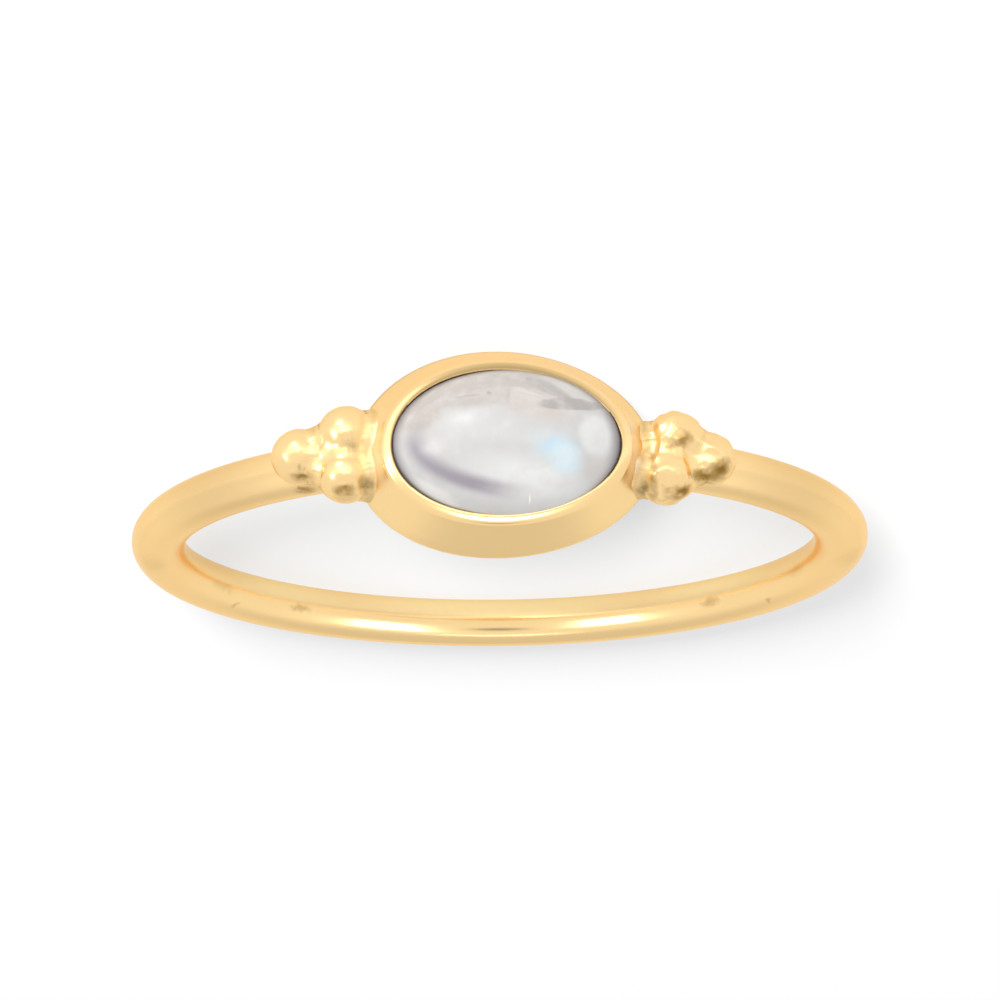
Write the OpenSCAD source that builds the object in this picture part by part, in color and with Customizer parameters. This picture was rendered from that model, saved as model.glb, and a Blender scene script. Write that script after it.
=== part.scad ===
// Finger ring with an oval cabochon in a bezel cup and three round shots on each shoulder.
// The ring lies on its side, on the foot of its bezel and the back of its hoop.
// The stone faces -Y, the finger goes through along Z, and the origin is under the middle of the ring.
// Sizes are in millimetres.

/* [Band] */
// Inside diameter of the hoop
finger_d = 16.35; // [14:0.05:18.5]
// Width of the oval wire, out from the finger
wire_w = 1.4; // [1.35:0.05:1.8]
// Thickness of the wire, along the finger
wire_t = 1.25; // [1:0.05:1.3]

/* [Stone] */
// Length of the oval, across the finger
stone_l = 6; // [5.8:0.1:6.4]
// Width of the oval, along the finger
stone_w = 4; // [3.9:0.1:4.6]
// Height of the dome above the widest part of the stone
dome_h = 1.9; // [1.4:0.05:2.4]
// Height of the straight edge under the dome
edge_h = 0.35; // [0.2:0.05:0.5]
// Clearance between the stone and its seat
seat_gap = 0.03; // [0.02:0.01:0.06]

/* [Bezel] */
// Height of the cup from its back to the top of its lip
bezel_h = 1.57; // [1.3:0.01:2]
// Thickness of the back, under the stone
back_t = 0.47; // [0.4:0.01:0.8]
// How far the back lies out from the inside of the hoop
back_out = 0.28; // [0.1:0.01:0.4]
// How far the foot stands out past the edge of the stone
foot_flare = 0.65; // [0.6:0.05:0.9]
// Radius of the foot's rounded edge
foot_r = 0.25; // [0.15:0.05:0.3]
// How far the top of the lip stands out past the edge of the stone
lip_flare = 0.09; // [0.06:0.01:0.14]
// Radius of the rounded lip
lip_r = 0.12; // [0.1:0.01:0.12]

/* [Beads] */
// Diameter of each shot
bead_d = 1.3; // [1.2:0.05:1.6]
// How far the two shots beside the bezel run into its foot
bead_bite = 0.32; // [0.28:0.01:0.38]
// Distance between the middles of those two shots
pair_pitch = 1; // [0.9:0.01:1.2]
// How far their middles lie out from the wire's own middle
pair_out = 0.95; // [0.8:0.05:1.05]
// How far the middle of the third shot lies out from the wire's own middle
tip_out = 1.15; // [1:0.05:1.2]
// How far the third shot runs into the other two
tip_bite = 0.04; // [0.03:0.01:0.08]

/* [Hidden] */
$fn = 96;

gold = [0.96, 0.81, 0.56];
milky = [0.87, 0.89, 0.92];

hoop_r = finger_d / 2 + wire_w / 2;
// The wire is rounded at its inside and outside, each about a middle this far from its own
wire_r = wire_t / 2;
round_out = (wire_w - wire_t) / 2;

// Distances out from the axis of the finger, along the stone's own axis
back_z = finger_d / 2 + back_out;
seat_z = back_z + back_t + seat_gap;
girdle_z = seat_z + edge_h;
lip_z = back_z + bezel_h;

// The bezel's plan is an oval of four arcs: two end arcs about points on its long axis, and two flank
// arcs about points on its short axis. A band of any width round it has the same four centres.
half_l = stone_l / 2;
half_w = stone_w / 2;
corner = norm([half_l, half_w]);
end_r = (corner * corner - (half_l - half_w) * corner) / (2 * half_l);
flank_r = (corner * corner + (half_l - half_w) * corner) / (2 * half_w);
end_x = half_l - end_r;
flank_y = flank_r - half_w;
end_turn = atan2(flank_y, end_x);
// Inner radius of the end arcs, and the width of wall from there to the stone's edge
core_r = 0.5;
wall_in = end_r - core_r;

// Centres of the round foot and lip in the wall's section, as [distance out from the stone's edge, height]
foot_c = [foot_flare - foot_r, back_z + foot_r];
lip_c = [lip_flare - lip_r, lip_z - lip_r];
// Direction square to the straight wall that touches both circles
wall_run = lip_c - foot_c;
wall_normal = atan2(wall_run.y, wall_run.x) - acos((foot_r - lip_r) / norm(wall_run));
normal = [cos(wall_normal), sin(wall_normal)];

// Distances of the shots' middles from the finger's axis, and their angles round it from the stone's middle
pair_r = hoop_r + pair_out;
tip_r = hoop_r + tip_out;
pair_turn = asin((half_l + foot_flare + bead_d / 2 - bead_bite) / pair_r);
reach_sq = pow(bead_d - tip_bite, 2) - pow(pair_pitch / 2, 2);
tip_turn = pair_turn + acos((pair_r * pair_r + tip_r * tip_r - reach_sq) / (2 * pair_r * tip_r));

// The lean at which the hoop's wire and the bezel's foot both touch the surface
foot_y = foot_c.y;
foot_side = half_w + foot_c.x;
rim_r = hoop_r + round_out;
lean = atan2(foot_side, foot_y + rim_r)
    - asin((wire_r - foot_r) / norm([foot_side, foot_y + rim_r]));
rest_z = rim_r * sin(lean) + wire_r;
// Reach of the stone's dome towards the front and of the hoop towards the back, after leaning
front_reach = girdle_z * cos(lean) + norm([dome_h * cos(lean), half_w * sin(lean)]);
back_reach = rim_r * cos(lean) + wire_r;

// Section of the bezel's wall, as far out from the point x = 0 as reach says for the stone's edge
module wall_section(reach) {
    translate([reach, 0]) {
        polygon([
            [-wall_in, back_z],
            [foot_c.x, back_z],
            foot_c + foot_r * normal,
            lip_c + lip_r * normal,
            lip_c,
            [-wall_in, lip_c.y],
        ]);
        translate(foot_c) circle(r = foot_r);
        translate(lip_c) circle(r = lip_r);
    }
}

// The middle of the cup: an oval plate that fills the space inside the wall's section
module cup_middle() {
    plate_in = wall_in / 2;
    translate([0, 0, back_z]) scale([half_l - plate_in, half_w - plate_in, 1])
        cylinder(h = seat_z + edge_h / 2 - back_z, r = 1);
}

// The bezel as a filled cup round the Z axis, opening towards +Z
module bezel_blank() {
    for (side = [0, 1]) mirror([side, 0, 0])
        translate([end_x, 0, 0]) rotate([0, 0, -end_turn])
            rotate_extrude(angle = 2 * end_turn) wall_section(end_r);
    for (side = [0, 1]) mirror([0, side, 0])
        translate([0, -flank_y, 0]) rotate([0, 0, end_turn])
            rotate_extrude(angle = 180 - 2 * end_turn) wall_section(flank_r);
    cup_middle();
}

// The cabochon round the Z axis, grown by gap on every side
module cabochon(gap) {
    l = half_l + gap;
    w = half_w + gap;
    intersection() {
        translate([0, 0, girdle_z]) scale([l, w, dome_h + gap]) sphere(r = 1);
        translate([-half_l - 1, -half_w - 1, girdle_z])
            cube([stone_l + 2, stone_w + 2, dome_h + 1]);
    }
    translate([0, 0, seat_z - gap])
        scale([l, w, 1]) cylinder(h = edge_h + gap, r = 1);
}

module band() {
    rotate_extrude() translate([hoop_r, 0]) {
        for (side = [-1, 1]) translate([side * round_out, 0]) circle(r = wire_r);
        square([2 * round_out, wire_t], center = true);
    }
}

// One shot: its angle from the stone's middle, and how far its middle lies out from the finger's axis
// and along it
module bead(turn, out, along) {
    rotate([0, 0, turn]) translate([0, -out, along]) sphere(d = bead_d);
}

// Three shots on each shoulder, as mirror images
module beads() {
    for (side = [0, 1]) mirror([side, 0, 0]) {
        for (row = [-1, 1]) bead(pair_turn, pair_r, row * pair_pitch / 2);
        bead(tip_turn, tip_r, 0);
    }
}

// Turns what stands on the Z axis towards the front of the hoop
module facing_front() {
    rotate([90, 0, 0]) children();
}

// Leans the ring over until it rests, with its box centred on the origin
module at_rest() {
    translate([0, (front_reach - back_reach) / 2, rest_z]) rotate([-lean, 0, 0]) children();
}

module ring_mount() {
    color(gold) at_rest() difference() {
        union() {
            band();
            facing_front() bezel_blank();
            beads();
        }
        facing_front() cabochon(seat_gap);
    }
}

module moonstone() {
    color(milky) at_rest() facing_front() cabochon(0);
}

ring_mount();
moonstone();
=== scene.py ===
"""A gold ring with an oval moonstone and three small shots on each shoulder, lying on its side."""
import math

import bpy
from mathutils import Matrix, Vector
from mathutils.bvhtree import BVHTree


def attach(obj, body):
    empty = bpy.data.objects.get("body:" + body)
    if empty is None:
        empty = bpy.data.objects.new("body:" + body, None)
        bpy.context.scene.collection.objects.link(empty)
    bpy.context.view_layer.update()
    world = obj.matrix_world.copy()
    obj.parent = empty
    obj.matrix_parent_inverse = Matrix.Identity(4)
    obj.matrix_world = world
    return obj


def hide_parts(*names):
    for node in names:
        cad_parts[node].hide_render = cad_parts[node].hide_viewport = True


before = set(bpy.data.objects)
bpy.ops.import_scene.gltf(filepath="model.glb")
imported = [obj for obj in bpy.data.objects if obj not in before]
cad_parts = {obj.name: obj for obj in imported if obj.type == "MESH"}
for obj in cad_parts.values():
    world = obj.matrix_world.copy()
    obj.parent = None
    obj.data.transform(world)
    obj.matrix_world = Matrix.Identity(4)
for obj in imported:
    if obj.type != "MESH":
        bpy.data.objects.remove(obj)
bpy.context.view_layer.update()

# Camera: a long lens 200 mm away, 21 degrees above the table. The picture shows the ring from the side on
# which it lies, so the camera is turned upside down to see the same view from above the table.
MM = 0.001
camera_data = bpy.data.cameras.new("camera")
camera_data.sensor_width = 36
camera_data.lens = 276.5
camera_data.clip_start = 1 * MM
camera = bpy.data.objects.new("camera", camera_data)
camera.location = Vector((3.702, -186.032, 72.758)) * MM
camera.rotation_euler = [math.radians(turn) for turn in (-68.851, -0.708, -179.133)]
bpy.context.collection.objects.link(camera)
bpy.context.scene.camera = camera
bpy.context.scene.view_settings.view_transform = "Standard"


# Table: a sheet of sanded white acrylic over a light box, as for a catalogue picture. Its face is matt and
# shows no reflection of the ring, and the light from below pales the shadows.


def linear(hex_code):
    """The linear colour of an sRGB hex code such as F5D092."""
    channels = [int(hex_code[i:i + 2], 16) / 255 for i in (0, 2, 4)]
    return [c / 12.92 if c <= 0.04045 else ((c + 0.055) / 1.055) ** 2.4 for c in channels] + [1]


def new_material(name):
    """A node material: the material, its node tree and its Principled shader."""
    material = bpy.data.materials.new(name)
    material.use_nodes = True
    return material, material.node_tree, material.node_tree.nodes["Principled BSDF"]


bpy.ops.object.select_all(action="DESELECT")
bpy.ops.mesh.primitive_plane_add(size=2)
table = bpy.context.object
table.name = "table"
acrylic, _, acrylic_shader = new_material("backlit white acrylic")
acrylic_shader.inputs["Base Color"].default_value = linear("707070")
acrylic_shader.inputs["Roughness"].default_value = 0.9
acrylic_shader.inputs["Specular IOR Level"].default_value = 0.1
acrylic_shader.inputs["Emission Color"].default_value = linear("FFFFFF")
acrylic_shader.inputs["Emission Strength"].default_value = 0.43
table.data.materials.append(acrylic)


# Light: a white room with two greyer places overhead, a pair of small lamps on the side where the picture's
# left is, and soft boxes, each flagged off all but the one piece that it lights.


def node(tree, kind, settings=None, links=None):
    """Adds a node with its settings (attributes and input values) and links its inputs."""
    made = tree.nodes.new("ShaderNode" + kind)
    for name, value in (settings or {}).items():
        if isinstance(name, str) and hasattr(made, name):
            setattr(made, name, value)
        else:
            made.inputs[name].default_value = value
    for name, source in (links or {}).items():
        tree.links.new(source, made.inputs[name])
    return made


CARDS = [
    # way to the middle, cosines of the outer and the inner edge, and brightness
    ((0, 0.62, 0.785), 0.79, 0.966, 0.78),  # a large grey flag behind the ring's zenith
    ((0, -0.47, 0.883), 0.987, 0.998, 0.25),  # a small dark card in front of it
]
world = bpy.data.worlds.new("white room")
bpy.context.scene.world = world
world.use_nodes = True
room = world.node_tree
room_light = room.nodes["Background"]
room_light.inputs["Color"].default_value = linear("FFFFFF")
direction = node(room, "TexCoord").outputs["Generated"]
dimmed = []
for way, outer, inner, brightness in CARDS:
    near = node(room, "VectorMath", {"operation": "DOT_PRODUCT", 1: way}, {0: direction})
    dimmed.append(node(room, "MapRange", {"interpolation_type": "SMOOTHSTEP", "From Min": outer, "From Max": inner,
                                          "To Min": 1.0, "To Max": brightness}, {"Value": near.outputs["Value"]}))
both = node(room, "Math", {"operation": "MULTIPLY"}, {i: card.outputs["Result"] for i, card in enumerate(dimmed)})
room.links.new(both.outputs[0], room_light.inputs["Strength"])


def add_lamp(name, place, size, power, turn=0):
    """A soft lamp that faces the ring from a place: its width and height in millimetres, its watts, its turn."""
    lamp_data = bpy.data.lights.new(name, "AREA")
    lamp_data.shape = "RECTANGLE"
    lamp_data.size, lamp_data.size_y = [side * MM for side in size]
    lamp_data.energy = power
    lamp = bpy.data.objects.new(name, lamp_data)
    lamp.location = Vector(place) * MM
    lamp.rotation_euler = ((-Vector(place)).to_track_quat("-Z", "Y").to_matrix()
                           @ Matrix.Rotation(math.radians(turn), 3, "Z")).to_euler()
    bpy.context.collection.objects.link(lamp)
    return lamp


left_lamp = add_lamp("left_lamp", (117, -82, 24), (20, 20), 0.031)
# This one stands under the acrylic, which lets its light through: only the ring's own pieces block it
under_lamp = add_lamp("under_lamp", (57, -120, -66), (20, 20), 0.031)
ring_pieces = bpy.data.collections.new("in front of the table")
under_lamp.light_linking.blocker_collection = ring_pieces
head_pieces = bpy.data.collections.new("all but the band")
for lamp in (left_lamp, under_lamp):
    lamp.light_linking.receiver_collection = head_pieces
# Two strip boxes and a tube over the ring, flagged off all but the band
band_only = bpy.data.collections.new("band only")
for name, place, size, power, turn in (
        ("left_strip_box", (133, -99, 159), (80, 140), 0.12, -25),
        ("right_strip_box", (-117, -55, 191), (80, 140), 0.12, 37),
        ("tube", (0, 34, 227), (90, 6), 0.008, 0)):
    add_lamp(name, place, size, power, turn).light_linking.receiver_collection = band_only
# Two lamps flagged off the ring light the table alone: one draws the hoop's shadow, the other the head's
hoop_lamp = add_lamp("hoop_lamp", (142, -867, 208), (180, 180), 60)
head_lamp = add_lamp("head_lamp", (80, -860, 300), (100, 100), 28)
for lamp in (hoop_lamp, head_lamp):
    lamp.light_linking.receiver_collection = bpy.data.collections.new(lamp.name + " lights")
    lamp.light_linking.receiver_collection.objects.link(table)
    lamp.light_linking.blocker_collection = bpy.data.collections.new(lamp.name + " is blocked by")
# Two soft boxes near the camera, flagged off all but the bezel, whose lip they light
bezel_only = bpy.data.collections.new("bezel only")
for name, place, size, power in (
        ("front_box", (0, -225, 110), (60, 50), 0.08),
        ("left_box", (111, -164, -28), (40, 110), 0.07)):
    box = add_lamp(name, place, size, power)
    box.light_linking.receiver_collection = bezel_only
    box.light_linking.blocker_collection = ring_pieces


# Band: a closed hoop of wire, drawn, bent, soldered and rounded by polishing, then gold-plated. Faint dark
# reflections are painted inside it.
WIRE_W = 1.40  # out from the finger
WIRE_T = 1.25  # along the finger
HOOP_R = 8.875  # to the middle of the wire
LEAN = math.radians(6.535)  # of the hoop, on the foot of its bezel
HOOP_MIDDLE = Vector((0, 0.8145, 1.6436)) * MM
WELD = 0.001 * MM  # points nearer than this are one


def head_place(tree):
    """Places in millimetres, seen from the stone: along its oval, across it, and out from the finger's axis."""
    return node(tree, "Mapping", {"vector_type": "TEXTURE", "Location": HOOP_MIDDLE,
                                  "Rotation": (math.pi / 2 - LEAN, 0, 0), "Scale": (MM, MM, MM)},
                {"Vector": node(tree, "TexCoord").outputs["Object"]}).outputs["Vector"]


def wander(tree, place, per_mm, detail, shift):
    """Places moved by up to half a shift either way, with so many waves to the millimetre, for uneven marks."""
    noise = node(tree, "TexNoise", {"Scale": per_mm, "Detail": detail}, {"Vector": place})
    back = node(tree, "VectorMath", {"operation": "SUBTRACT", 1: (shift / 2,) * 3}, {0: place})
    return node(tree, "VectorMath", {"operation": "MULTIPLY_ADD", 1: (shift,) * 3},
                {0: noise.outputs["Color"], 2: back.outputs[0]}).outputs[0]


def spot(tree, place, middle, reach, soft, strength=1, turn=0):
    """An ellipsoid spot: its strength up to the first share of its reach, and 0 from the second share."""
    around = node(tree, "Mapping", {"vector_type": "TEXTURE", "Location": middle, "Scale": reach,
                                    "Rotation": (0, 0, math.radians(turn))}, {"Vector": place})
    away = node(tree, "VectorMath", {"operation": "LENGTH"}, {0: around.outputs["Vector"]})
    return node(tree, "MapRange", {"interpolation_type": "SMOOTHSTEP", "From Min": soft[0], "From Max": soft[1],
                                   "To Min": strength, "To Max": 0},
                {"Value": away.outputs["Value"]}).outputs["Result"]


def paint(tree, ground, coats):
    """Lays coats over a ground colour, each a colour and the output that says how much of it shows."""
    under = None
    for colour, share in coats:
        coat = node(tree, "Mix", {"data_type": "RGBA", 6: linear(ground), 7: linear(colour)}, {0: share})
        if under:
            tree.links.new(under, coat.inputs[6])
        under = coat.outputs[2]
    return under


# The plate is a pale, warm gold with a soft polish, brighter on the lip. Its colour has painted light: paler
# inside the back of the hoop, and painted shade with some tarnish in the corners that the cloth doesn't reach,
# where it is matt.
gold, gold_tree, gold_shader = new_material("polished gold plate")
gold_shader.inputs["Metallic"].default_value = 1
gold_shader.inputs["Specular Tint"].default_value = linear("FAE9CC")
PLATE = "F8D69B"
PLATE_ROUGHNESS = 0.265
# Coats laid into the plate's colour: painted shade, painted reflections and painted paler patches
PAINTED_LIGHT_COATS_SOFT = (0.1, 1.15)
PAINTED_LIGHT_COATS = [
    # colour, middle, reach and strength: painted shade under and between the left shots, and beside the bezel's
    # foot
    ("97722F", (5.08, 0.56, 8.95), (0.34, 0.14, 0.30), 0.9),
    ("97722F", (5.12, 0.60, 7.70), (0.42, 0.13, 0.40), 0.8),
    ("86713F", (4.54, -0.05, 8.95), (0.13, 0.13, 0.40), 0.9),
    ("A89668", (4.60, -0.14, 9.10), (0.36, 0.28, 0.50), 0.6),
    ("A89668", (3.88, -0.05, 9.45), (0.32, 0.22, 0.30), 0.6),
    ("97722F", (4.00, 1.03, 9.40), (0.36, 0.16, 0.30), 0.9),
    ("8C7446", (3.50, 0.84, 9.25), (0.26, 0.28, 0.45), 0.9),
    ("9C8D65", (3.22, 0.55, 9.71), (0.12, 0.35, 0.30), 0.4),
    # Painted shade under and between the right shots, and beside the bezel's foot
    ("97722F", (-4.40, -0.20, 9.52), (0.32, 0.28, 0.30), 0.8),
    ("8C7446", (-4.10, -0.02, 9.50), (0.28, 0.12, 0.30), 0.8),
    ("8F6B2A", (-5.34, 0.50, 9.10), (0.42, 0.34, 0.38), 1.0),
    ("97722F", (-4.90, 0.66, 9.00), (0.48, 0.18, 0.70), 1.0),
    ("8F6B2A", (-4.35, 1.10, 9.31), (0.52, 0.22, 0.34), 1.0),
    ("86662E", (-3.66, 0.70, 9.15), (0.17, 0.75, 0.70), 1.0),
    ("8C7446", (-3.42, 0.95, 9.20), (0.20, 0.30, 0.45), 0.9),
    # Painted paler on the bezel's ends, against the orange reflection of the solder in them
    ("F2E2C4", (3.26, 0.05, 9.72), (0.34, 1.40, 0.30), 0.9),
    ("F2E2C4", (-3.18, 0.05, 9.72), (0.34, 1.40, 0.30), 0.9),
    # Painted light: paler inside the back of the hoop; painted shade: duller on its shoulders
    ("FFE4A8", (0.0, -0.38, -8.00), (4.80, 0.50, 1.70), 0.95),
    ("FFE4A8", (5.7, -0.38, -5.80), (2.60, 0.50, 2.40), 0.85),
    ("FFE4A8", (-5.7, -0.38, -5.80), (2.60, 0.50, 2.40), 0.85),
    ("B8935A", (7.2, 0.0, 5.50), (2.60, 1.50, 2.80), 0.25),
    ("B8935A", (-7.2, 0.0, 5.50), (2.60, 1.50, 2.80), 0.27),
    # Painted reflections: faint dark marks inside the hoop and on its back
    ("97722F", (5.26, 0.19, -6.30), (0.45, 0.14, 0.45), 0.4),
    ("97722F", (-5.72, 0.20, -5.88), (0.45, 0.14, 0.45), 0.4),
    ("97722F", (6.95, 0.47, -4.75), (0.16, 0.07, 0.16), 0.4),
    ("97722F", (-7.20, 0.50, -4.44), (0.16, 0.07, 0.16), 0.4),
    ("97722F", (7.25, 0.20, -3.80), (0.60, 0.16, 0.80), 0.2),
    ("97722F", (-7.83, 0.18, -2.45), (0.50, 0.16, 0.80), 0.2),
    ("97722F", (9.04, 0.60, 0.20), (0.50, 0.30, 1.20), 0.15),
    ("97722F", (-9.14, 0.57, 0.35), (0.50, 0.30, 1.20), 0.15),
]
POLISH = [
    # change of roughness, middle, reach and softness: inside the back of the hoop, the lip, and the bezel's ends
    (-0.065, (0, 0, -8.9), (6.0, 2.0, 4.0), (0.7, 1.1)),
    (-0.065, (0, 0, 10.03), (10, 10, 0.22), (0.5, 1.0)),
    (0.25, (3.30, 0, 9.60), (0.60, 1.50, 0.40), (0.5, 1.0)),
    (0.25, (-3.22, 0, 9.60), (0.60, 1.50, 0.40), (0.5, 1.0)),
]
gold_place = head_place(gold_tree)
smeared = wander(gold_tree, gold_place, per_mm=4.0, detail=3.0, shift=0.3)
# Painted shade and some tarnish lie in the solder's hollows, and painted shade in the corner between the lip and
# the stone
hollow, lip_corner = [
    node(gold_tree, "Math", {"operation": "MULTIPLY", 1: share},
         {0: node(gold_tree, "Attribute", {"attribute_name": name}).outputs["Fac"]}).outputs[0]
    for name, share in (("hollow", 0.75), ("lip_corner", 0.95))]
gold_tree.links.new(
    paint(gold_tree, PLATE, [("C0A168", hollow), ("8F7850", lip_corner)] + [
        (colour, spot(gold_tree, smeared, middle, reach, PAINTED_LIGHT_COATS_SOFT, strength))
        for colour, middle, reach, strength in PAINTED_LIGHT_COATS]),
    gold_shader.inputs["Base Color"])
roughness = None
for change, share in [(change, spot(gold_tree, gold_place, middle, reach, soft))
                      for change, middle, reach, soft in POLISH] + [(0.20, hollow)]:
    changed = node(gold_tree, "Math", {"operation": "MULTIPLY_ADD", 1: change, 2: PLATE_ROUGHNESS}, {0: share})
    if roughness:
        gold_tree.links.new(roughness, changed.inputs[2])
    roughness = changed.outputs[0]
gold_tree.links.new(roughness, gold_shader.inputs["Roughness"])


def finish(piece, name, material, node_name):
    """Lays a piece down the way the ring lies, and gives it its finish and its place in the frame."""
    piece.name = name
    piece.data.materials.clear()
    piece.data.materials.append(material)
    bpy.ops.object.select_all(action="DESELECT")
    piece.select_set(True)
    bpy.context.view_layer.objects.active = piece
    piece.matrix_world = Matrix.Translation(HOOP_MIDDLE) @ Matrix.Rotation(math.pi / 2 - LEAN, 4, "X")
    bpy.ops.object.transform_apply(location=True, rotation=True, scale=True)
    bpy.ops.object.shade_smooth_by_angle(angle=math.radians(50))
    ring_pieces.objects.link(piece)
    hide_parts(node_name)
    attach(piece, "root")


def hoop(width, thickness):
    """A hoop of wire round the Y axis: its section is an oval circle spun round."""
    bpy.ops.object.select_all(action="DESELECT")
    bpy.ops.mesh.primitive_circle_add(vertices=48, radius=0.5 * MM, rotation=(0, math.pi / 2, 0))
    made = bpy.context.object
    bpy.ops.object.transform_apply(location=True, rotation=True, scale=True)
    bpy.ops.object.mode_set(mode="EDIT")
    bpy.ops.mesh.select_all(action="SELECT")
    bpy.ops.transform.resize(value=(1, thickness, width), center_override=(0, 0, 0))
    bpy.ops.transform.translate(value=(0, 0, HOOP_R * MM))
    bpy.ops.mesh.spin(steps=400, angle=2 * math.pi, center=(0, 0, 0), axis=(0, 1, 0))
    bpy.ops.mesh.select_all(action="SELECT")
    bpy.ops.mesh.remove_doubles(threshold=WELD)
    bpy.ops.mesh.normals_make_consistent(inside=False)
    bpy.ops.object.mode_set(mode="OBJECT")
    return made


band = hoop(WIRE_W, WIRE_T)
finish(band, "band", gold, "ring_mount")
band_only.objects.link(band)
hoop_lamp.light_linking.blocker_collection.objects.link(band)


# Bezel: an oval cup of gold-plated sheet with a closed back, spread at the foot and burnished over the
# stone's edge. It is soldered across the band.
STONE_HALF = (3.0, 2.0)  # half the length and width of the stone's oval, which the lip follows
LIP_Z = 9.9  # where the lip's round begins
# How far the outline, which was filed by hand, stands out of a true oval: cosine and sine of three waves round it
FILED = (-0.0135, 0.008)
BEZEL_RINGS = [
    # half length, half width, height from the finger's axis, shift along the oval
    (3.44, 2.42, 8.455, 0.10), (3.55, 2.51, 8.475, 0.10), (3.64, 2.585, 8.530, 0.10), (3.705, 2.635, 8.620, 0.10),
    (3.738, 2.660, 8.730, 0.10), (3.728, 2.650, 8.810, 0.10), (3.60, 2.545, 9.030, 0.085),
    (3.47, 2.435, 9.270, 0.07), (3.33, 2.315, 9.520, 0.055), (3.20, 2.200, 9.750, 0.04),
    (3.145, 2.150, 9.855, 0.035), (3.115, 2.120, 9.915, 0.03), (3.070, 2.078, 9.953, 0.03),
    (3.015, 2.022, 9.976, 0.03), (2.955, 1.965, 9.996, 0.03), (2.895, 1.900, 10.010, 0.03),
    (2.855, 1.852, 10.005, 0.03), (2.838, 1.836, 9.980, 0.03), (2.834, 1.832, 9.935, 0.03),
    (2.870, 1.870, 9.870, 0.02), (2.970, 1.980, 9.700, 0.01), (3.030, 2.030, 9.300, 0),
    (3.030, 2.030, 8.925, 0), (2.0, 1.2, 8.925, 0),
]
bpy.ops.object.select_all(action="DESELECT")
bpy.ops.mesh.primitive_circle_add(vertices=256, radius=1 * MM, fill_type="NGON")
bezel = bpy.context.object
for vertex in bezel.data.vertices:
    angle = math.atan2(vertex.co.y, vertex.co.x)
    vertex.co *= 1 + FILED[0] * math.cos(3 * angle) + FILED[1] * math.sin(3 * angle)
# A disc is the back of the cup. Its edge is drawn up from ring to ring, over the lip and down to the seat.
bpy.ops.object.mode_set(mode="EDIT")
bpy.ops.mesh.select_all(action="SELECT")
last_length, last_width, last_height, last_shift = 1, 1, 0, 0
for half_length, half_width, ring_height, shift in BEZEL_RINGS:
    if last_height:
        bpy.ops.mesh.extrude_region_move()
    bpy.ops.transform.resize(value=(half_length / last_length, half_width / last_width, 1),
                             center_override=(last_shift * MM, 0, 0))
    bpy.ops.transform.translate(value=((shift - last_shift) * MM, 0, (ring_height - last_height) * MM))
    last_length, last_width, last_height, last_shift = half_length, half_width, ring_height, shift
bpy.ops.mesh.select_all(action="SELECT")
bpy.ops.mesh.normals_make_consistent(inside=False)
bpy.ops.object.mode_set(mode="OBJECT")
# Where the lip turns down to the stone, shade is painted, most on the side nearer the table
corners = []
for vertex in bezel.data.vertices:
    outward = Vector((vertex.co.x / STONE_HALF[0] ** 2, vertex.co.y / STONE_HALF[1] ** 2, 0)).normalized()
    table_side = min(max(0.4 - 0.3 * vertex.co.y / MM, 0), 1)
    corner = min(max(0.4 + 0.9 * table_side - 2.5 * vertex.normal.dot(outward), 0), 1)
    corners.append(corner if vertex.co.z > LIP_Z * MM else 0)
bezel.data.attributes.new("lip_corner", "FLOAT", "POINT").data.foreach_set("value", corners)
# A second one, still upright, for the solder beside it
bezel_form = bezel.copy()
bezel_form.data = bezel.data.copy()
bpy.context.collection.objects.link(bezel_form)
finish(bezel, "bezel", gold, "ring_mount")
bezel_only.objects.link(bezel)
head_pieces.objects.link(bezel)
head_lamp.light_linking.blocker_collection.objects.link(bezel)


# Shots: three small balls on each shoulder, melted round from scraps of wire. The solder that holds them to
# the band, to each other and to the bezel's foot has flooded the gaps, and the right ones are crumpled.
PAIR_R = HOOP_R + 0.95
TIP_R = HOOP_R + 1.15
CLUSTERS = [
    # name as in the picture, side, how far the balls are crumpled, how widely the solder has flowed, and for
    # each ball its angle round the band, its distances from the finger's axis and along it, and its diameter
    ("left_shots", 1, 0.04, 0.28,
     [(23.80, PAIR_R, -0.500, 1.43), (23.99, PAIR_R, 0.580, 1.36), (30.82, TIP_R, -0.028, 1.41)]),
    ("right_shots", -1, 0.15, 0.23,
     [(-25.40, PAIR_R, -0.350, 1.40), (-23.95, PAIR_R, 0.640, 1.43), (-30.30, TIP_R, 0.120, 1.34)]),
]
BAND_FROM, BAND_TO = 13, 43  # degrees round the band, of the piece of it that the solder runs on
BAND_SUNK = 0.02  # how much slimmer that piece is than the band
WALL_SCALE, WALL_X, WALL_TOP = 0.97, 2.8, 9.68  # the piece of the bezel's wall: its share, inner end and top
POCKET, POCKET_R = (4.4, 0.03, 8.88), 0.5  # the drop of solder between the balls
SKIN = 0.035  # grain of the skin
FADE = 0.3  # height above the band over which the crumples grow
HOLLOW_FROM, HOLLOW_OVER = 0.03, 0.16  # depth of solder at which tarnish begins, and over which it grows
MELT_FROM, MELT_OVER = 0.02, 0.04  # the same for the solder's smoothness
crumple = bpy.data.textures.new("crumple", "CLOUDS")
crumple.noise_scale = 0.30 * MM
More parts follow.
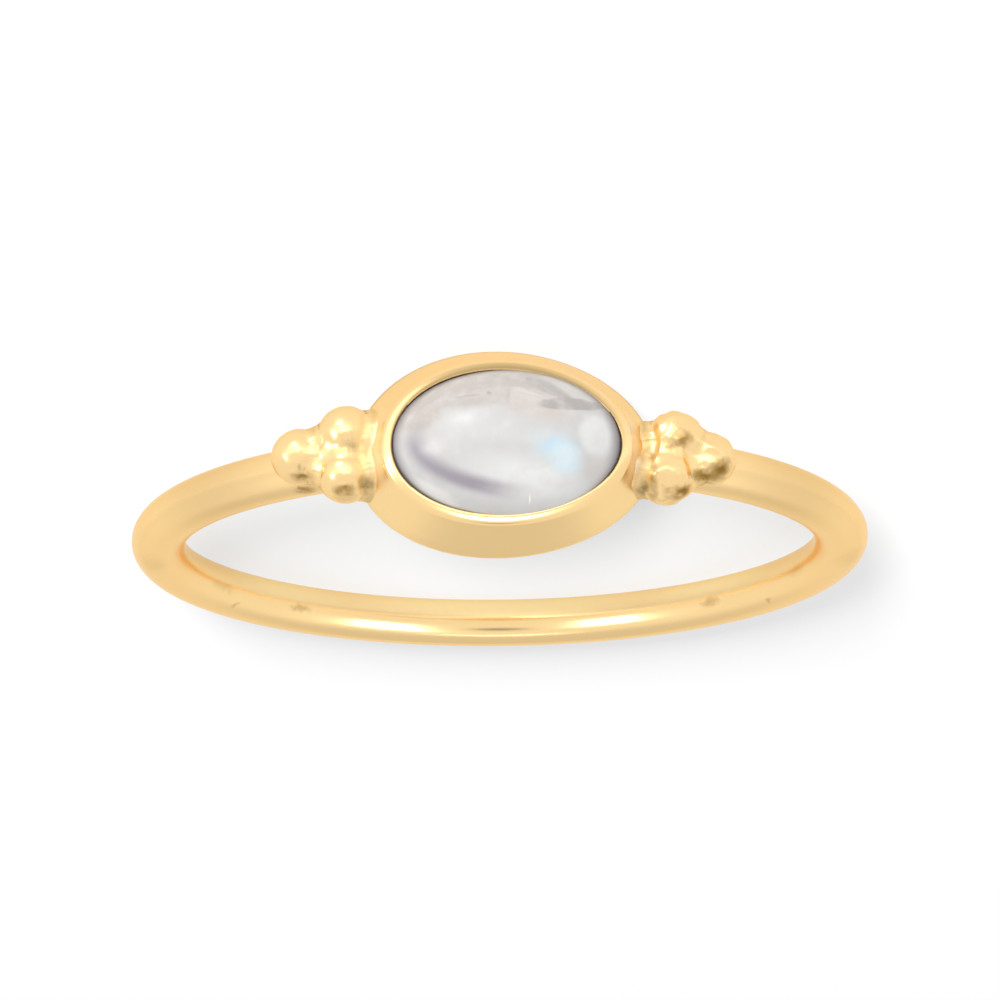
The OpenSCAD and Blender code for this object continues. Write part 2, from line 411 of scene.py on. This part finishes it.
for name, side, crumpled, solder, balls in CLUSTERS:
    # A short piece of the band and of the bezel's wall, just inside the real ones, for the solder to run on
    cluster = hoop(WIRE_W - BAND_SUNK, WIRE_T - BAND_SUNK)
    bpy.ops.object.mode_set(mode="EDIT")
    for angle, way in ((BAND_FROM * side, side), (BAND_TO * side, -side)):
        turn = math.radians(angle)
        bpy.ops.mesh.select_all(action="SELECT")
        bpy.ops.mesh.bisect(plane_co=(0, 0, 0), plane_no=(way * math.cos(turn), 0, -way * math.sin(turn)),
                            clear_inner=True, use_fill=True)
    bpy.ops.object.mode_set(mode="OBJECT")
    wall = bezel_form.copy()
    wall.data = bezel_form.data.copy()
    bpy.context.collection.objects.link(wall)
    bpy.ops.object.select_all(action="DESELECT")
    wall.select_set(True)
    bpy.context.view_layer.objects.active = wall
    bpy.ops.object.mode_set(mode="EDIT")
    bpy.ops.mesh.select_all(action="SELECT")
    bpy.ops.transform.resize(value=(WALL_SCALE, WALL_SCALE, 1), center_override=(0, 0, 0))
    for middle, way in (((WALL_X * side, 0, 0), (side, 0, 0)), ((0, 0, WALL_TOP), (0, 0, -1))):
        bpy.ops.mesh.select_all(action="SELECT")
        bpy.ops.mesh.bisect(plane_co=Vector(middle) * MM, plane_no=way, clear_inner=True, use_fill=True)
    bpy.ops.object.mode_set(mode="OBJECT")
    pieces = [cluster, wall]
    for angle, out, along, diameter in balls:
        turn = math.radians(angle)
        middle = Vector((out * math.sin(turn), along, out * math.cos(turn))) * MM
        bpy.ops.mesh.primitive_ico_sphere_add(subdivisions=5, radius=diameter / 2 * MM, location=middle)
        pieces.append(bpy.context.object)
    middle = Vector((POCKET[0] * side, *POCKET[1:])) * MM
    bpy.ops.mesh.primitive_ico_sphere_add(subdivisions=4, radius=POCKET_R * MM, location=middle)
    pieces.append(bpy.context.object)
    bpy.ops.object.select_all(action="DESELECT")
    for piece in pieces:
        piece.select_set(True)
    bpy.context.view_layer.objects.active = cluster
    bpy.ops.object.join()
    bpy.ops.object.transform_apply(location=True, rotation=True, scale=True)
    # The solder flows into the hollows: the skin is joined up, crumpled, moved out, joined up, and moved back in
    for step, change in (("crumpled", crumpled), ("swollen", solder), ("shrunk", -solder)):
        skin = cluster.modifiers.new("skin", "REMESH")
        skin.mode = "VOXEL"
        skin.voxel_size = SKIN * MM
        bpy.ops.object.modifier_apply(modifier="skin")
        if step == "swollen":
            bare = BVHTree.FromObject(cluster, bpy.context.evaluated_depsgraph_get())
        swell = cluster.modifiers.new(step, "DISPLACE")
        swell.mid_level = 0
        swell.strength = change * MM
        if step == "crumpled":
            raised = cluster.vertex_groups.new(name="raised")
            for vertex in cluster.data.vertices:
                height = math.hypot(vertex.co.x, vertex.co.z) / MM - HOOP_R - WIRE_W / 2
                raised.add([vertex.index], min(max(height / FADE, 0), 1), "REPLACE")
            swell.mid_level = 0.5
            swell.texture = crumple
            swell.vertex_group = "raised"
        bpy.ops.object.modifier_apply(modifier=step)
    flow = cluster.modifiers.new("flow", "SMOOTH")
    flow.factor = 0.5
    flow.iterations = 14
    bpy.ops.object.modifier_apply(modifier="flow")
    # How deep the solder lies over the bare balls. It sets smoother than they are, and painted shade and tarnish
    # lie in its hollows.
    depths = [bare.find_nearest(vertex.co)[3] / MM for vertex in cluster.data.vertices]
    cluster.data.attributes.new("hollow", "FLOAT", "POINT").data.foreach_set(
        "value", [min(max((depth - HOLLOW_FROM) / HOLLOW_OVER, 0), 1) for depth in depths])
    filled = cluster.vertex_groups.new(name="filled")
    for index, depth in enumerate(depths):
        if depth > MELT_FROM:
            filled.add([index], min((depth - MELT_FROM) / MELT_OVER, 1), "REPLACE")
    melt = cluster.modifiers.new("melt", "SMOOTH")
    melt.factor = 0.5
    melt.iterations = 40
    melt.vertex_group = "filled"
    bpy.ops.object.modifier_apply(modifier="melt")
    finish(cluster, name, gold, "ring_mount")
    head_pieces.objects.link(cluster)
bpy.data.objects.remove(bezel_form)


# Moonstone: an oval cabochon of milky feldspar, ground to a smooth dome and polished. A blue sheen is painted
# into one end, cleavage planes cross the other, and the dusky crescent left by slanting light is painted on one
# side.
SEAT_Z = 8.955  # its flat back
GIRDLE_Z = 9.305  # where its dome begins
DOME_H = 1.9
moonstone, stone_tree, stone_shader = new_material("polished moonstone")
stone_shader.inputs["Roughness"].default_value = 0.32
stone_shader.inputs["IOR"].default_value = 1.52
MILK = "C1C0BE"
DEEP = 100  # reach of a mark that goes right through the stone
FLECKS_AND_PAINTED_LIGHT = [
    # colour, middle along and across the oval, reach along and across, turn, softness, strength
    # Painted light: the first two make the half that faces up paler, where the room above is dim
    ("D6D6D5", (-0.50, 1.15), (2.10, 0.75), -3, (0.30, 1.10), 0.95),
    ("DEDEDC", (-0.70, 1.15), (1.30, 0.45), 0, (0.20, 1.10), 0.8),
    ("B5ADA7", (1.00, -1.40), (2.40, 0.85), 0, (0.75, 1.05), 0.95),
    ("B5ADA6", (2.20, -0.60), (0.70, 0.55), 0, (0.60, 1.10), 0.9),
    ("C0B7B2", (-0.75, -0.75), (1.05, 0.50), 0, (0.55, 1.05), 0.9),
    ("C3BBB6", (-1.15, -0.42), (0.75, 0.22), 3, (0.40, 1.10), 0.7),
    ("C0BDB8", (-1.60, -1.15), (0.75, 0.35), -25, (0.50, 1.05), 0.9),
    ("A7A29F", (-1.05, -1.20), (0.90, 0.22), -29, (0.45, 1.05), 0.95),
    ("A49F9B", (-1.60, -0.78), (1.00, 0.20), 5, (0.70, 1.03), 0.95),
    ("C6BEB9", (-0.45, -1.00), (0.45, 0.20), -20, (0.50, 1.05), 0.8),
    ("D2CAC4", (-0.65, -1.00), (0.42, 0.03), -18, (0.30, 1.00), 0.7),
    ("A9A5A3", (-0.02, -0.88), (0.09, 0.26), 0, (0.30, 1.05), 0.7),
    ("ABA5A2", (0.10, -1.60), (0.35, 0.20), 0, (0.40, 1.10), 0.7),
    ("948B80", (0.95, -0.96), (0.55, 0.05), 5, (0.20, 1.00), 0.6),
    ("8F867B", (0.42, -1.05), (0.12, 0.07), -30, (0.20, 1.00), 0.6),
    # Painted highlight: a pale patch at this end
    ("D8D8D6", (-2.20, 0.00), (0.48, 0.62), 0, (0.60, 1.10), 0.9),
    # Painted sheen: the moonstone's blue glow
    ("C4D4DC", (-1.20, 0.45), (0.85, 0.50), -25, (0.10, 1.20), 0.95),
    ("AFCBD9", (-1.25, 0.30), (0.60, 0.25), 8, (0.00, 1.20), 0.8),
    ("CFE4EC", (-1.45, 0.62), (0.50, 0.50), 0, (0.10, 1.15), 0.9),
    ("C7C2BD", (-2.25, 0.85), (0.42, 0.50), 25, (0.30, 1.10), 0.85),
    ("DAD8D5", (1.75, 1.40), (0.95, 0.22), -33, (0.40, 1.10), 0.9),
    ("C0BDBB", (1.95, 0.12), (0.50, 0.20), -20, (0.50, 1.05), 0.8),
]
stone_place = head_place(stone_tree)
milky = wander(stone_tree, stone_place, per_mm=2.2, detail=2.0, shift=0.2)
# The painted crescent of shade lies inside one oval and outside another, and a third ends it at the side of the
# sheen
outer_oval = spot(stone_tree, stone_place, (-1.30, 0.02, 0), (4.00, 1.76, DEEP), (0.90, 1.0))
inner_oval = spot(stone_tree, stone_place, (-1.40, -0.02, 0), (3.72, 1.47, DEEP), (0.88, 1.03))
side_oval = spot(stone_tree, milky, (1.60, 0.80, 0), (2.70, 1.40, DEEP), (0.40, 1.0))
outside = node(stone_tree, "Math", {"operation": "SUBTRACT", 0: 1.0}, {1: inner_oval}).outputs[0]
between = node(stone_tree, "Math", {"operation": "MULTIPLY"}, {0: outer_oval, 1: outside}).outputs[0]
crescent = node(stone_tree, "Math", {"operation": "MULTIPLY"}, {0: between, 1: side_oval}).outputs[0]
# A little cloud all over, painted shade on a rim that darkens towards the lip, and one painted glint near it
cloud = node(stone_tree, "TexNoise", {"Scale": 2.6, "Detail": 4.0}, {"Vector": stone_place}).outputs["Fac"]
mottle = node(stone_tree, "MapRange", {"From Min": 0.45, "From Max": 0.75, "To Min": 0, "To Max": 0.5},
              {"Value": cloud}).outputs["Result"]
RIM = 0.85
inside_rim = spot(stone_tree, stone_place, (0.02, 0.08, 0), (2.78, 1.97, DEEP), (0.91, 1.02), RIM)
rim = node(stone_tree, "Math", {"operation": "SUBTRACT", 0: RIM}, {1: inside_rim}).outputs[0]
painted_glint = spot(stone_tree, stone_place, (-0.55, 1.57, 0), (0.03, 0.14, DEEP), (0.20, 1.00), 0.9)
stone_tree.links.new(
    paint(stone_tree, MILK, [
        (colour, spot(stone_tree, milky, (*middle, 0), (*reach, DEEP), soft, strength, turn))
        for colour, middle, reach, turn, soft, strength in FLECKS_AND_PAINTED_LIGHT] + [
        ("CFCBC8", mottle), ("979098", crescent), ("F0F0ED", painted_glint), ("837E84", rim)]),
    stone_shader.inputs["Base Color"])

bpy.ops.object.select_all(action="DESELECT")
bpy.ops.mesh.primitive_uv_sphere_add(segments=192, ring_count=96, radius=1 * MM)
stone = bpy.context.object
bpy.ops.object.mode_set(mode="EDIT")
bpy.ops.mesh.select_all(action="SELECT")
bpy.ops.mesh.bisect(plane_co=(0, 0, 0), plane_no=(0, 0, 1), clear_inner=True, use_fill=True, threshold=WELD)
bpy.ops.mesh.select_all(action="SELECT")
bpy.ops.transform.resize(value=(*STONE_HALF, DOME_H), center_override=(0, 0, 0))
bpy.ops.transform.translate(value=(0, 0, GIRDLE_Z * MM))
# Only the flat underside is drawn down to the seat
bpy.ops.mesh.select_mode(type="FACE")
bpy.ops.mesh.select_all(action="DESELECT")
bpy.ops.object.mode_set(mode="OBJECT")
for face in stone.data.polygons:
    face.select = face.normal.z < -0.9
bpy.ops.object.mode_set(mode="EDIT")
bpy.ops.mesh.extrude_region_move(TRANSFORM_OT_translate={"value": (0, 0, (SEAT_Z - GIRDLE_Z) * MM)})
bpy.ops.mesh.select_all(action="SELECT")
bpy.ops.mesh.normals_make_consistent(inside=False)
bpy.ops.object.mode_set(mode="OBJECT")
finish(stone, "cabochon", moonstone, "moonstone")
head_pieces.objects.link(stone)
